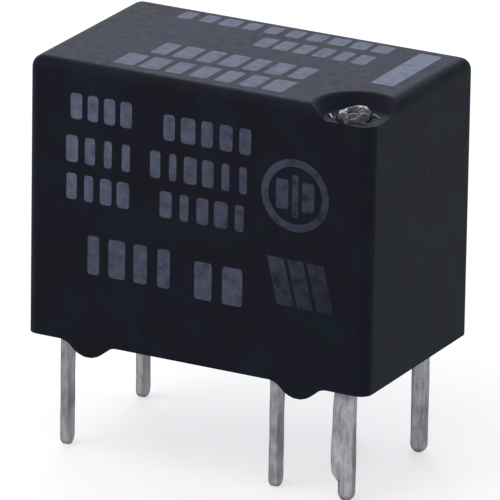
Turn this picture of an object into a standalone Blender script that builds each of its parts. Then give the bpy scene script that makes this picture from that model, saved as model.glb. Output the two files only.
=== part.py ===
"""A sealed miniature relay: six pins, one coil, a hinged armature and one changeover contact.

Units are metres and +Z is up. The relay stands on its pins, whose tips are at Z = 0. Its long
sides run along X, and the front, the printed side, faces -Y. The common pins are at the -X end,
and the fixed contacts and their pins are at the +X end.
"""
import math

import bmesh
import bpy
from mathutils import Matrix, Vector

MM = 0.001

# Moulded case, drawn round the pins. Each margin runs from the pins' centres to its outside
SIDE_MARGIN = 1.06 * MM
COMMON_END_MARGIN = 0.97 * MM
CONTACT_END_MARGIN = 1.17 * MM
SIDE_WALL = 0.45 * MM
TOP_WALL = 0.5 * MM
CASE_EDGE_RADIUS = 0.4 * MM
CAVITY_EDGE_RADIUS = 0.2 * MM

# Feet that hold the case off the board
FOOT_FROM_COMMON_END = 2.27 * MM
FOOT_FROM_CONTACT_END = 2.46 * MM
FOOT_DROP = 0.47 * MM
FOOT_HALF_WIDTH = 1.05 * MM
FOOT_ROUND = 0.8 * MM
FOOT_FLAT_HALF = 0.12 * MM
FOOT_STEPS = 9

# Heat-sealed vent in the top corner
VENT_FROM_END = 0.95 * MM
VENT_FROM_FRONT = 0.8 * MM
DISH_RADIUS = 1.38 * MM
DISH_FLOOR_RADIUS = 1.05 * MM
DISH_DEPTH = 0.4 * MM
DISH_WALL = 0.35 * MM
NIB_RADIUS = 0.45 * MM
NIB_HEIGHT = 0.3 * MM

# Pin field, on the printed-board grid
GRID = 2.54 * MM
PIN_REACH = 3.5 * MM
PIN_WIDTH = 0.5 * MM
SHEET = 0.28 * MM
PIN_EDGE = 0.06 * MM

# Base and sealing resin
RESIN_RECESS = 0.25 * MM
RESIN_DEPTH = 0.5 * MM
RESIN_DISH = 0.08 * MM
RESIN_CREEP = 0.14 * MM
BASE_THICKNESS = 0.55 * MM
TOWER_HEIGHT = 0.8 * MM
TOWER_WALL = 0.22 * MM
BARRIER_THICKNESS = 0.25 * MM
BARRIER_GAP = 0.12 * MM

# Coil
BOBBIN_HEIGHT = 5.34 * MM
FLANGE_THICKNESS = 0.5 * MM
TERMINAL_FLANGE_THICKNESS = 0.8 * MM
TERMINAL_BLOCK_HEIGHT = 1.9 * MM
TERMINAL_BLOCK_MARGIN = 0.31 * MM
BOBBIN_WALL = 0.28 * MM
CORE_RADIUS = 0.8 * MM
POLE_RADIUS = 1.35 * MM
POLE_THICKNESS = 0.3 * MM
RIVET_RADIUS = 0.6 * MM
RIVET_HEAD_RADIUS = 0.85 * MM
RIVET_HEAD_HEIGHT = 0.2 * MM
WINDING_MARGIN = 0.1 * MM
WINDING_RIDGES = 18
WINDING_RIDGE_DEPTH = 0.04 * MM
POST_WIDTH = 0.25 * MM
POST_HEIGHT = 1.5 * MM
LEAD_RADIUS = 0.035 * MM
LEAD_TURNS = 3

# Yoke and armature
YOKE_THICKNESS = 0.6 * MM
YOKE_BEND = 0.15 * MM
YOKE_LEG_LENGTH = 4.6 * MM
YOKE_LEG_INSET = 0.55 * MM
YOKE_BOSS_RADIUS = 0.25 * MM
EAR_RIM = 0.17 * MM
RISER_HALF_WIDTH = 0.42 * MM
KNIFE_FROM_PINS = 0.98 * MM
ARMATURE_THICKNESS = 0.6 * MM
ARMATURE_SIDE_GAP = 0.09 * MM
ARMATURE_TAIL_INSET = 0.4 * MM
ARMATURE_OVERHANG = 1.7 * MM
ARMATURE_TOP_DROP = 0.08 * MM
ARMATURE_BOSS_RADIUS = 0.28 * MM
NOTCH_GAP = 0.05 * MM

# Leaf spring
LEAF = 0.1 * MM
LEAF_BEND = 0.3 * MM
LEAF_INSET = 0.25 * MM
ARM_HALF_WIDTH = 0.6 * MM
ARM_TIP_HALF_WIDTH = 0.35 * MM
ARM_TAPER = 0.8 * MM
TONGUE_WIDTH = 0.75 * MM
TONGUE_REACH = 2.0 * MM
TONGUE_RIVET_INSET = 0.55 * MM
LEG_REACH = 2.4 * MM
LEG_RIVET_HEIGHT = 1.3 * MM
RIVET_STAND = 0.1 * MM

# Contacts
CONTACT_TRAVEL = 0.35 * MM
CONTACT_INSET = 0.15 * MM
BAR_LENGTH = 0.8 * MM
BAR_WIDTH = 0.35 * MM
BAR_HEIGHT = 0.25 * MM
BAR_ROUND = 0.1 * MM
STRIP_WIDTH = 1.0 * MM
STRIP_BEND = 0.3 * MM
ARM_END = 0.45 * MM
HEADROOM = 0.22 * MM

# Gap left between two pieces that touch, and the modelling tolerances
SEAT = 0.02 * MM
WELD = 0.0005 * MM
THROUGH = 1.0 * MM
ROUND_STEPS = 32

# Levels, from the pin tips up to the yoke
seat_z = PIN_REACH
rim_z = seat_z + FOOT_DROP
resin_z = rim_z + RESIN_RECESS
base_z = resin_z + RESIN_DEPTH + SEAT
base_top_z = base_z + BASE_THICKNESS
bobbin_z = base_top_z + SEAT
coil_axis_z = bobbin_z + BOBBIN_HEIGHT / 2
bobbin_top_z = bobbin_z + BOBBIN_HEIGHT
yoke_under_z = bobbin_top_z + SEAT
yoke_top_z = yoke_under_z + YOKE_THICKNESS

# Levels of the contact stack, from the leaf down, and from the leaf up to the top of the case
leaf_z = yoke_top_z + SEAT + LEAF / 2
lower_bar_z = leaf_z - LEAF / 2 - SEAT - BAR_HEIGHT / 2
nc_bar_z = lower_bar_z - BAR_HEIGHT - SEAT
nc_arm_z = nc_bar_z - BAR_HEIGHT / 2 - SEAT - SHEET / 2
upper_bar_z = leaf_z + LEAF / 2 + SEAT + BAR_HEIGHT / 2
no_bar_z = upper_bar_z + BAR_HEIGHT + SEAT + CONTACT_TRAVEL
no_arm_z = no_bar_z + BAR_HEIGHT / 2 + SEAT + SHEET / 2
ceiling_z = no_arm_z + SHEET / 2 + HEADROOM
case_top_z = ceiling_z + TOP_WALL

# The plan of the case. X = 0 and Y = 0 are at its middle
row_y = GRID
case_half_width = row_y + SIDE_MARGIN
case_half_length = (COMMON_END_MARGIN + 4 * GRID + CONTACT_END_MARGIN) / 2
inner_half_width = case_half_width - SIDE_WALL
inner_half_length = case_half_length - SIDE_WALL

# Stations along X
common_x = -case_half_length + COMMON_END_MARGIN
coil_x = common_x + 3 * GRID
contact_x = common_x + 4 * GRID
bar_x = contact_x - CONTACT_INSET
knife_x = common_x + KNIFE_FROM_PINS
left_flange_x = knife_x + POLE_THICKNESS + SEAT
right_flange_x = coil_x - TERMINAL_FLANGE_THICKNESS / 2
flange_end_x = coil_x + TERMINAL_FLANGE_THICKNESS / 2
yoke_leg_x = flange_end_x + SEAT
yoke_back_x = yoke_leg_x + YOKE_THICKNESS
rivet_end_x = yoke_back_x + SEAT + RIVET_HEAD_HEIGHT
barrier_x = rivet_end_x + BARRIER_GAP
ear_end_x = common_x - SHEET / 2 - SEAT - EAR_RIM

# Half widths along Y
wrap_radius = math.hypot(POST_WIDTH, SHEET) / 2 + SEAT + LEAD_RADIUS
flange_half_width = row_y - wrap_radius - LEAD_RADIUS - 2 * SEAT
block_half_width = row_y + TERMINAL_BLOCK_MARGIN
winding_radius = min(flange_half_width, BOBBIN_HEIGHT / 2) - WINDING_MARGIN
tenon_half_width = POST_WIDTH / 2
yoke_half_width = row_y + tenon_half_width + SEAT + EAR_RIM
yoke_leg_half_width = yoke_half_width - YOKE_LEG_INSET
armature_half_width = row_y - RISER_HALF_WIDTH - ARMATURE_SIDE_GAP
armature_tail_half_width = armature_half_width - ARMATURE_TAIL_INSET
notch_half_width = armature_half_width + NOTCH_GAP
leaf_half_width = armature_half_width - LEAF_INSET
tongue_inner = leaf_half_width - TONGUE_WIDTH
tower_inner = row_y - SHEET / 2 - TOWER_WALL
bobbin_radius = CORE_RADIUS + SEAT + BOBBIN_WALL

# The armature rests open by this angle, and closes until the leaf meets the upper contact
open_angle = math.asin(CONTACT_TRAVEL / (bar_x - knife_x))
pivot = Vector((knife_x, yoke_top_z))

for leftover in list(bpy.data.objects):
    bpy.data.objects.remove(leftover)

relay = bpy.data.collections.new("micro_relay")
cutters = bpy.data.collections.new("cutters")
bpy.context.scene.collection.children.link(relay)
bpy.context.scene.collection.children.link(cutters)


def material(name, colour, roughness, metallic=0.0):
    """A Principled material of one plain finish."""
    finish = bpy.data.materials.new(name)
    finish.use_nodes = True
    shader = finish.node_tree.nodes["Principled BSDF"]
    shader.inputs["Base Color"].default_value = (*colour, 1.0)
    shader.inputs["Roughness"].default_value = roughness
    shader.inputs["Metallic"].default_value = metallic
    return finish


def move_to(obj, collection):
    """Keep an object in one collection only."""
    for holder in list(obj.users_collection):
        holder.objects.unlink(obj)
    collection.objects.link(obj)


def keep(obj, finish):
    """Make an object a piece of the relay, in its material and shaded by its edges."""
    move_to(obj, relay)
    tidy = obj.modifiers.new("Weld", 'WELD')
    tidy.merge_threshold = WELD
    obj.data.materials.clear()
    obj.data.materials.append(finish)
    obj.data.shade_smooth()
    obj.data.set_sharp_from_angle(angle=math.radians(35))
    return obj


def combine(target, tool, operation):
    """Cut, join or trim a target with a tool, which is then put away as a guide."""
    step = target.modifiers.new(tool.name, 'BOOLEAN')
    step.object = tool
    step.operation = operation
    step.solver = 'EXACT'
    move_to(tool, cutters)
    tool.hide_render = True
    tool.display_type = 'WIRE'


def box(name, low, high):
    """A box between two corners."""
    low, high = Vector(low), Vector(high)
    bpy.ops.mesh.primitive_cube_add(size=1, location=(low + high) / 2)
    made = bpy.context.object
    made.name = name
    made.scale = high - low
    bpy.ops.object.transform_apply(location=False, rotation=False, scale=True)
    return made


def round_edges(obj, radius, steps, wanted):
    """Round the edges for which wanted(one end, other end) holds, both ends in world places."""
    bm = bmesh.new()
    bm.from_mesh(obj.data)
    place = obj.matrix_world
    edges = [e for e in bm.edges if wanted(place @ e.verts[0].co, place @ e.verts[1].co)]
    bmesh.ops.bevel(bm, geom=edges, offset=radius, segments=steps, profile=0.5, affect='EDGES')
    bm.to_mesh(obj.data)
    bm.free()


def upright(one, other):
    """True for an edge that runs along Z."""
    return abs(one.z - other.z) > WELD


def cylinder(name, radius, start, end, steps=ROUND_STEPS):
    """A cylinder between two points."""
    start, end = Vector(start), Vector(end)
    bpy.ops.mesh.primitive_cylinder_add(vertices=steps, radius=radius, depth=(end - start).length)
    made = bpy.context.object
    made.name = name
    made.location = (start + end) / 2
    made.rotation_mode = 'QUATERNION'
    made.rotation_quaternion = (end - start).to_track_quat('Z', 'Y')
    bpy.context.view_layer.update()
    return made


def turned(name, profile, place, steps=ROUND_STEPS, along_x=False):
    """A turned shape. The profile's (radius, height) points run down its outer side."""
    mesh = bpy.data.meshes.new(name)
    closed = profile[0][0] > 0 and profile[-1][0] > 0
    count = len(profile)
    edges = [(i, i + 1) for i in range(count - 1)] + ([(count - 1, 0)] if closed else [])
    mesh.from_pydata([(radius, 0, height) for radius, height in profile], edges, [])
    made = bpy.data.objects.new(name, mesh)
    bpy.context.scene.collection.objects.link(made)
    made.location = place
    if along_x:
        made.rotation_euler = (0, math.pi / 2, 0)
    screw = made.modifiers.new("Turn", 'SCREW')
    screw.steps = steps
    screw.render_steps = steps
    screw.use_merge_vertices = True
    screw.merge_threshold = WELD
    bpy.context.view_layer.update()
    return made


def solid_from_curve(curve):
    """Swap a curve for the mesh it makes, with its loose caps welded on."""
    graph = bpy.context.evaluated_depsgraph_get()
    mesh = bpy.data.meshes.new_from_object(curve.evaluated_get(graph))
    bm = bmesh.new()
    bm.from_mesh(mesh)
    bmesh.ops.remove_doubles(bm, verts=bm.verts, dist=WELD)
    bmesh.ops.recalc_face_normals(bm, faces=bm.faces)
    bm.to_mesh(mesh)
    bm.free()
    made = bpy.data.objects.new(curve.data.name, mesh)
    bpy.context.scene.collection.objects.link(made)
    made.matrix_world = curve.matrix_world
    bpy.data.objects.remove(curve)
    bpy.context.view_layer.update()
    return made


# Turns a drawing in X and Y so that its thickness runs along the named axis
FACING = {'X': (math.pi / 2, 0, math.pi / 2), 'Y': (math.pi / 2, 0, 0), 'Z': (0, 0, 0)}


def plate(name, outline, thickness, facing, middle):
    """A flat outline with a thickness that runs along one axis, centred on middle there.

    The outline is in the other two axes, in the order X, Y, Z.
    """
    curve = bpy.data.curves.new(name, 'CURVE')
    curve.dimensions = '2D'
    curve.fill_mode = 'BOTH'
    curve.extrude = thickness / 2
    spline = curve.splines.new('POLY')
    spline.points.add(len(outline) - 1)
    for point, (across, along) in zip(spline.points, outline):
        point.co = (across, along, 0, 1)
    spline.use_cyclic_u = True
    drawn = bpy.data.objects.new(name + "_drawing", curve)
    bpy.context.scene.collection.objects.link(drawn)
    drawn.rotation_euler = FACING[facing]
    drawn.location = [middle if axis == facing else 0 for axis in "XYZ"]
    bpy.context.view_layer.update()
    return solid_from_curve(drawn)


def tube(name, route, radius):
    """A round wire along a route."""
    curve = bpy.data.curves.new(name, 'CURVE')
    curve.dimensions = '3D'
    curve.bevel_depth = radius
    curve.bevel_resolution = 2
    curve.use_fill_caps = True
    spline = curve.splines.new('POLY')
    spline.points.add(len(route) - 1)
    for point, place in zip(spline.points, route):
        point.co = (*place, 1)
    drawn = bpy.data.objects.new(name + "_route", curve)
    bpy.context.scene.collection.objects.link(drawn)
    bpy.context.view_layer.update()
    return solid_from_curve(drawn)


def arc(centre, radius, start, end, steps):
    """Points on an arc, both ends included, with its angles in degrees."""
    points = []
    for i in range(steps + 1):
        angle = math.radians(start + (end - start) * i / steps)
        points.append((centre[0] + radius * math.cos(angle), centre[1] + radius * math.sin(angle)))
    return points


def rounded_path(corners, radius, steps=6):
    """An open path with each inner corner rounded to a radius."""
    corners = [Vector(corner) for corner in corners]
    path = [tuple(corners[0])]
    for before, corner, after in zip(corners, corners[1:], corners[2:]):
        back = (before - corner).normalized()
        ahead = (after - corner).normalized()
        half = back.angle(ahead) / 2
        centre = corner + (back + ahead).normalized() * radius / math.sin(half)
        spoke = corner + back * radius / math.tan(half) - centre
        last = corner + ahead * radius / math.tan(half) - centre
        sweep = -spoke.angle_signed(last)
        for i in range(steps + 1):
            path.append(tuple(centre + Matrix.Rotation(sweep * i / steps, 2) @ spoke))
    path.append(tuple(corners[-1]))
    return path


def folded_sheet(name, path, thickness, low, high, across):
    """A sheet folded along a path in its own axis and Z, and straight from low to high across."""
    def place(point, side):
        return (point[0], side, point[1]) if across == 'Y' else (side, point[0], point[1])

    mesh = bpy.data.meshes.new(name)
    bm = bmesh.new()
    ends = [bm.verts.new(place(point, low)) for point in path]
    edges = [bm.edges.new(pair) for pair in zip(ends, ends[1:])]
    swept = bmesh.ops.extrude_edge_only(bm, edges=edges)
    moved = [item for item in swept["geom"] if isinstance(item, bmesh.types.BMVert)]
    bmesh.ops.translate(bm, verts=moved, vec=Vector(place((0, 0), high - low)))
    bmesh.ops.recalc_face_normals(bm, faces=bm.faces)
    bm.to_mesh(mesh)
    bm.free()
    made = bpy.data.objects.new(name, mesh)
    bpy.context.scene.collection.objects.link(made)
    wall = made.modifiers.new("Thickness", 'SOLIDIFY')
    wall.thickness = thickness
    wall.offset = 0
    wall.use_even_offset = True
    return made


def both_sides(half):
    """A closed outline from its +Y half, which runs from one end of the X axis to the other."""
    return list(half) + [(x, -y) for x, y in reversed(half)]


def soften(obj, width):
    """Break the sharp edges of a stamped or moulded piece."""
    bevel = obj.modifiers.new("Edges", 'BEVEL')
    bevel.width = width
    bevel.segments = 2
    bevel.limit_method = 'ANGLE'
    bevel.angle_limit = math.radians(50)


def at_rest(x, z):
    """Where a point of the closed armature lies with the relay at rest."""
    offset = Vector((x, z)) - pivot
    return pivot + Matrix.Rotation(-open_angle, 2) @ offset


black_plastic = material("black_plastic", (0.018, 0.019, 0.026), 0.5)
base_plastic = material("base_plastic", (0.05, 0.05, 0.055), 0.6)
bobbin_plastic = material("bobbin_plastic", (0.62, 0.60, 0.54), 0.55)
resin = material("resin", (0.03, 0.03, 0.035), 0.25)
soft_iron = material("soft_iron", (0.50, 0.50, 0.51), 0.35, 1.0)
tinned = material("tinned", (0.42, 0.42, 0.43), 0.4, 1.0)
copper_wire = material("copper_wire", (0.55, 0.20, 0.07), 0.3, 1.0)
spring_bronze = material("spring_bronze", (0.68, 0.47, 0.28), 0.3, 1.0)
silver = material("silver", (0.80, 0.79, 0.76), 0.25, 1.0)


# Case: one moulded cover with four feet on its rim and the sealed vent in its top corner
def foot_outline(station):
    """A round foot that eases into the rim through a hollow fillet on each side."""
    fillet = (FOOT_HALF_WIDTH ** 2 + FOOT_DROP ** 2) / (2 * FOOT_DROP) - FOOT_ROUND
    meet = math.degrees(math.asin(FOOT_HALF_WIDTH / (FOOT_ROUND + fillet)))
    flat = math.degrees(math.asin(FOOT_FLAT_HALF / FOOT_ROUND))
    root_z = rim_z + CASE_EDGE_RADIUS
    outline = [(station + FOOT_HALF_WIDTH, root_z)]
    right = (station + FOOT_HALF_WIDTH, rim_z - fillet)
    left = (station - FOOT_HALF_WIDTH, rim_z - fillet)
    belly = (station, seat_z + FOOT_ROUND)
    outline += arc(right, fillet, 90, 90 + meet, FOOT_STEPS)
    outline += arc(belly, FOOT_ROUND, meet - 90, flat - 90, FOOT_STEPS)[1:-1]
    outline += [(station + FOOT_FLAT_HALF, seat_z), (station - FOOT_FLAT_HALF, seat_z)]
    outline += arc(belly, FOOT_ROUND, -90 - flat, -90 - meet, FOOT_STEPS)[1:-1]
    outline += arc(left, fillet, 90 - meet, 90, FOOT_STEPS)
    outline.append((station - FOOT_HALF_WIDTH, root_z))
    return outline


case = box(
    "case", (-case_half_length, -case_half_width, rim_z), (case_half_length, case_half_width, case_top_z))
round_edges(case, CASE_EDGE_RADIUS, 6, lambda one, other: max(one.z, other.z) > rim_z + WELD)

foot_stations = (-case_half_length + FOOT_FROM_COMMON_END, case_half_length - FOOT_FROM_CONTACT_END)
for station in foot_stations:
    for side in (-1, 1):
        foot = plate("foot", foot_outline(station), SIDE_WALL, 'Y', side * (case_half_width - SIDE_WALL / 2))
        combine(case, foot, 'UNION')

vent_x = case_half_length - VENT_FROM_END
vent_y = -case_half_width + VENT_FROM_FRONT
dish_floor_z = case_top_z - DISH_DEPTH

cavity = box("cavity", (-inner_half_length, -inner_half_width, 0), (inner_half_length, inner_half_width, ceiling_z))
round_edges(cavity, CAVITY_EDGE_RADIUS, 3, lambda one, other: max(one.z, other.z) > WELD)
vent_pad = cylinder(
    "vent_pad", DISH_RADIUS + SEAT,
    (vent_x, vent_y, dish_floor_z - DISH_WALL), (vent_x, vent_y, ceiling_z + THROUGH))
combine(cavity, vent_pad, 'DIFFERENCE')
combine(case, cavity, 'DIFFERENCE')

dish_slope = (DISH_RADIUS - DISH_FLOOR_RADIUS) / DISH_DEPTH
dish = turned("dish", [
    (0, THROUGH), (DISH_RADIUS + dish_slope * THROUGH, THROUGH), (DISH_FLOOR_RADIUS, -DISH_DEPTH), (0, -DISH_DEPTH),
], (vent_x, vent_y, case_top_z), steps=48)
nib = turned("nib", [
    (0, NIB_HEIGHT), (NIB_RADIUS * 0.55, NIB_HEIGHT * 0.92), (NIB_RADIUS * 0.85, NIB_HEIGHT * 0.65),
    (NIB_RADIUS, NIB_HEIGHT * 0.3), (NIB_RADIUS, -DISH_WALL / 2), (0, -DISH_WALL / 2),
], (vent_x, vent_y, dish_floor_z), steps=24)
combine(dish, nib, 'DIFFERENCE')
combine(case, dish, 'DIFFERENCE')
keep(case, black_plastic)


# Base: a moulded plate that carries the terminals, with a barrier between coil and contacts
def pin_slot(name, x, y, half_x, half_y, low, high):
    """A clearance hole for a blade that passes through a moulding."""
    return box(name, (x - half_x - SEAT, y - half_y - SEAT, low), (x + half_x + SEAT, y + half_y + SEAT, high))


base = box(
    "base", (-inner_half_length + SEAT, -inner_half_width + SEAT, base_z),
    (inner_half_length - SEAT, inner_half_width - SEAT, base_top_z))
round_edges(base, CAVITY_EDGE_RADIUS, 3, upright)
barrier = box(
    "barrier", (barrier_x, -tower_inner, base_z + BASE_THICKNESS / 2),
    (barrier_x + BARRIER_THICKNESS, tower_inner, nc_arm_z - SHEET))
combine(base, barrier, 'UNION')
for side in (-1, 1):
    tower = box(
        "tower",
        (bar_x - STRIP_WIDTH / 2 - TOWER_WALL, side * row_y - SHEET / 2 - TOWER_WALL, base_z + BASE_THICKNESS / 2),
        (bar_x + STRIP_WIDTH / 2 + TOWER_WALL, side * row_y + SHEET / 2 + TOWER_WALL, base_top_z + TOWER_HEIGHT))
    combine(base, tower, 'UNION')
for side in (-1, 1):
    for x in (common_x, coil_x):
        combine(base, pin_slot("blade_slot", x, side * row_y, SHEET / 2, PIN_WIDTH / 2, 0, ceiling_z), 'DIFFERENCE')
    combine(base, pin_slot("blade_slot", contact_x, side * row_y, PIN_WIDTH / 2, SHEET / 2, 0, ceiling_z), 'DIFFERENCE')
    strip_slot = pin_slot("strip_slot", bar_x, side * row_y, STRIP_WIDTH / 2, SHEET / 2, base_top_z, ceiling_z)
    combine(base, strip_slot, 'DIFFERENCE')
keep(base, base_plastic)

# Sealing resin: poured under the base round the pins, with a hollow surface
sealing_resin = box(
    "sealing_resin", (-inner_half_length + SEAT, -inner_half_width + SEAT, resin_z),
    (inner_half_length - SEAT, inner_half_width - SEAT, resin_z + RESIN_DEPTH))
round_edges(sealing_resin, CAVITY_EDGE_RADIUS, 3, upright)
bm = bmesh.new()
bm.from_mesh(sealing_resin.data)
bm.faces.ensure_lookup_table()
underside = min(bm.faces, key=lambda face: face.calc_center_median().z)
bmesh.ops.inset_region(bm, faces=[underside], thickness=RESIN_CREEP, depth=-RESIN_DISH)
bm.to_mesh(sealing_resin.data)
bm.free()
for side in (-1, 1):
    for x in (common_x, coil_x):
        combine(sealing_resin, pin_slot("pin_hole", x, side * row_y, SHEET / 2, PIN_WIDTH / 2, 0, base_z), 'DIFFERENCE')
    pin_hole = pin_slot("pin_hole", contact_x, side * row_y, PIN_WIDTH / 2, SHEET / 2, 0, base_z)
    combine(sealing_resin, pin_hole, 'DIFFERENCE')
keep(sealing_resin, resin)

# Bobbin: two flanges on a tube, the thicker one with a block for each coil terminal
block_top_z = bobbin_z + TERMINAL_BLOCK_HEIGHT
flange_corner = BOBBIN_WALL
terminal_flange = [
    (block_half_width, bobbin_z), (block_half_width, block_top_z), (flange_half_width, block_top_z),
    (flange_half_width, bobbin_top_z - flange_corner), (flange_half_width - flange_corner, bobbin_top_z)]
bobbin = plate(
    "bobbin", terminal_flange + [(-y, z) for y, z in reversed(terminal_flange)],
    TERMINAL_FLANGE_THICKNESS, 'X', coil_x)
round_edges(
    bobbin, YOKE_BEND + SEAT, 3,
    lambda one, other: min(one.x, other.x) > flange_end_x - WELD and min(one.z, other.z) > bobbin_top_z - WELD)
plain_half_width = BOBBIN_HEIGHT / 2
plain_flange = [
    (plain_half_width - flange_corner, bobbin_z), (plain_half_width, bobbin_z + flange_corner),
    (plain_half_width, bobbin_top_z - flange_corner), (plain_half_width - flange_corner, bobbin_top_z)]
far_flange = plate(
    "far_flange", plain_flange + [(-y, z) for y, z in reversed(plain_flange)],
    FLANGE_THICKNESS, 'X', left_flange_x + FLANGE_THICKNESS / 2)
combine(bobbin, far_flange, 'UNION')
spool = cylinder(
    "spool", bobbin_radius, (left_flange_x + FLANGE_THICKNESS / 2, 0, coil_axis_z), (coil_x, 0, coil_axis_z))
combine(bobbin, spool, 'UNION')
bore = cylinder(
    "bore", CORE_RADIUS + SEAT, (left_flange_x - THROUGH, 0, coil_axis_z), (flange_end_x + THROUGH, 0, coil_axis_z))
combine(bobbin, bore, 'DIFFERENCE')
for side in (-1, 1):
    groove = box(
        "groove", (coil_x - SHEET / 2 - SEAT, min(side * (row_y - PIN_WIDTH / 2 - SEAT), side * THROUGH * 4), 0),
        (coil_x + SHEET / 2 + SEAT, max(side * (row_y - PIN_WIDTH / 2 - SEAT), side * THROUGH * 4), ceiling_z))
    combine(bobbin, groove, 'DIFFERENCE')
keep(bobbin, bobbin_plastic)

# Winding: the wound wire, as one ring with the ridges of its outer turns
winding_start = left_flange_x + FLANGE_THICKNESS + SEAT
winding_end = right_flange_x - SEAT
pitch = (winding_end - winding_start) / WINDING_RIDGES
outer_turns = []
for i in range(WINDING_RIDGES):
    top = winding_end - i * pitch
    outer_turns += [(winding_radius - WINDING_RIDGE_DEPTH, top), (winding_radius, top - pitch / 2)]
outer_turns.append((winding_radius - WINDING_RIDGE_DEPTH, winding_start))
inner_side = bobbin_radius + SEAT
winding = turned(
    "winding", outer_turns + [(inner_side, winding_start), (inner_side, winding_end)],
    (0, 0, coil_axis_z), steps=36, along_x=True)
keep(winding, copper_wire)

# Coil leads: each end of the wire, led over the terminal block and wrapped round its post
wrap_pitch = 2 * LEAD_RADIUS + SEAT
wrap_z = block_top_z + 4 * LEAD_RADIUS
points_a_turn = 12
for side, end_name in ((-1, "front"), (1, "back")):
    start_angle = math.radians(8)
    reach = winding_radius + LEAD_RADIUS + SEAT
    start_x = right_flange_x - 3 * LEAD_RADIUS
    route = [
        (start_x, side * reach * math.cos(start_angle), coil_axis_z - reach * math.sin(start_angle)),
        (start_x, side * (flange_half_width + 2 * LEAD_RADIUS), wrap_z + wrap_pitch * LEAD_TURNS + LEAD_RADIUS)]
    for i in range(LEAD_TURNS * points_a_turn + 1):
        angle = math.pi - 2 * math.pi * i / points_a_turn
        height = wrap_z + wrap_pitch * (LEAD_TURNS - i / points_a_turn)
        route.append((coil_x + wrap_radius * math.cos(angle), side * (row_y + wrap_radius * math.sin(angle)), height))
    keep(tube("coil_lead_" + end_name, route, LEAD_RADIUS), copper_wire)

# Core: a turned iron pin, headed at the pole and riveted over the yoke
core = turned("core", [
    (0, rivet_end_x), (RIVET_HEAD_RADIUS * 0.8, rivet_end_x), (RIVET_HEAD_RADIUS, rivet_end_x - RIVET_HEAD_HEIGHT / 2),
    (RIVET_HEAD_RADIUS, yoke_back_x + SEAT), (RIVET_RADIUS, yoke_back_x + SEAT),
    (RIVET_RADIUS, yoke_leg_x - SEAT), (CORE_RADIUS, yoke_leg_x - SEAT),
    (CORE_RADIUS, knife_x + POLE_THICKNESS), (POLE_RADIUS, knife_x + POLE_THICKNESS),
    (POLE_RADIUS, knife_x), (0, knife_x),
], (0, 0, coil_axis_z), along_x=True)
keep(core, soft_iron)

# Yoke: folded iron, with the armature's knife edge in the notch between its two ears
yoke_middle_z = yoke_top_z - YOKE_THICKNESS / 2
yoke_middle_x = yoke_leg_x + YOKE_THICKNESS / 2
yoke_path = rounded_path(
    [(yoke_middle_x, yoke_top_z - YOKE_LEG_LENGTH), (yoke_middle_x, yoke_middle_z), (ear_end_x, yoke_middle_z)],
    YOKE_BEND + YOKE_THICKNESS / 2)
yoke = folded_sheet("yoke", yoke_path, YOKE_THICKNESS, -yoke_half_width, yoke_half_width, 'Y')
shoulder_x = right_flange_x - TERMINAL_FLANGE_THICKNESS
yoke_blank = plate("yoke_blank", both_sides([
    (knife_x, notch_half_width), (ear_end_x, notch_half_width), (ear_end_x, yoke_half_width - BOBBIN_WALL),
    (ear_end_x + BOBBIN_WALL, yoke_half_width), (shoulder_x, yoke_half_width),
    (right_flange_x, yoke_leg_half_width), (yoke_back_x + THROUGH, yoke_leg_half_width),
]), 2 * case_top_z, 'Z', coil_axis_z)
combine(yoke, yoke_blank, 'INTERSECT')
core_hole = cylinder(
    "core_hole", RIVET_RADIUS + SEAT,
    (yoke_leg_x - THROUGH / 4, 0, coil_axis_z), (yoke_back_x + THROUGH, 0, coil_axis_z))
combine(yoke, core_hole, 'DIFFERENCE')
tongue_end_x = knife_x + TONGUE_REACH
tongue_rivet_x = tongue_end_x - TONGUE_RIVET_INSET
tongue_middle_y = (tongue_inner + leaf_half_width) / 2
rivet_top_z = leaf_z + LEAF / 2 + RIVET_STAND
for side in (-1, 1):
    tenon_slot = pin_slot(
        "tenon_slot", common_x, side * row_y, SHEET / 2, tenon_half_width, yoke_under_z - THROUGH, ceiling_z)
    combine(yoke, tenon_slot, 'DIFFERENCE')
    boss = cylinder(
        "boss", YOKE_BOSS_RADIUS, (tongue_rivet_x, side * tongue_middle_y, yoke_middle_z),
        (tongue_rivet_x, side * tongue_middle_y, rivet_top_z), steps=20)
    combine(yoke, boss, 'UNION')
keep(yoke, soft_iron)

# Armature: a flat iron plate that leans on the knife edge, with two bosses for the leaf
armature_face_x = knife_x - SEAT
armature_back_x = armature_face_x - ARMATURE_THICKNESS
armature_top_z = yoke_top_z - ARMATURE_TOP_DROP
armature_low_z = coil_axis_z - ARMATURE_OVERHANG
leg_rivet_z = armature_top_z - LEG_RIVET_HEIGHT
leaf_leg_x = armature_back_x - SEAT - LEAF / 2
armature_side = [
    (armature_half_width, armature_top_z), (armature_half_width, coil_axis_z + POLE_RADIUS / 2),
    (armature_tail_half_width, coil_axis_z - POLE_RADIUS / 2), (armature_tail_half_width, armature_low_z + BOBBIN_WALL),
    (armature_tail_half_width - BOBBIN_WALL, armature_low_z)]
armature = plate(
    "armature", armature_side + [(-y, z) for y, z in reversed(armature_side)], ARMATURE_THICKNESS, 'X',
    (armature_face_x + armature_back_x) / 2)
top_edge_x = armature_back_x + WELD
round_edges(
    armature, ARMATURE_THICKNESS / 3, 3,
    lambda one, other: max(one.x, other.x) < top_edge_x and min(one.z, other.z) > armature_top_z - WELD)
for side in (-1, 1):
    boss = cylinder(
        "armature_boss", ARMATURE_BOSS_RADIUS,
        (armature_face_x - ARMATURE_THICKNESS / 2, side * tongue_middle_y, leg_rivet_z),
        (leaf_leg_x - LEAF / 2 - RIVET_STAND, side * tongue_middle_y, leg_rivet_z), steps=20)
    combine(armature, boss, 'UNION')

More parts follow.
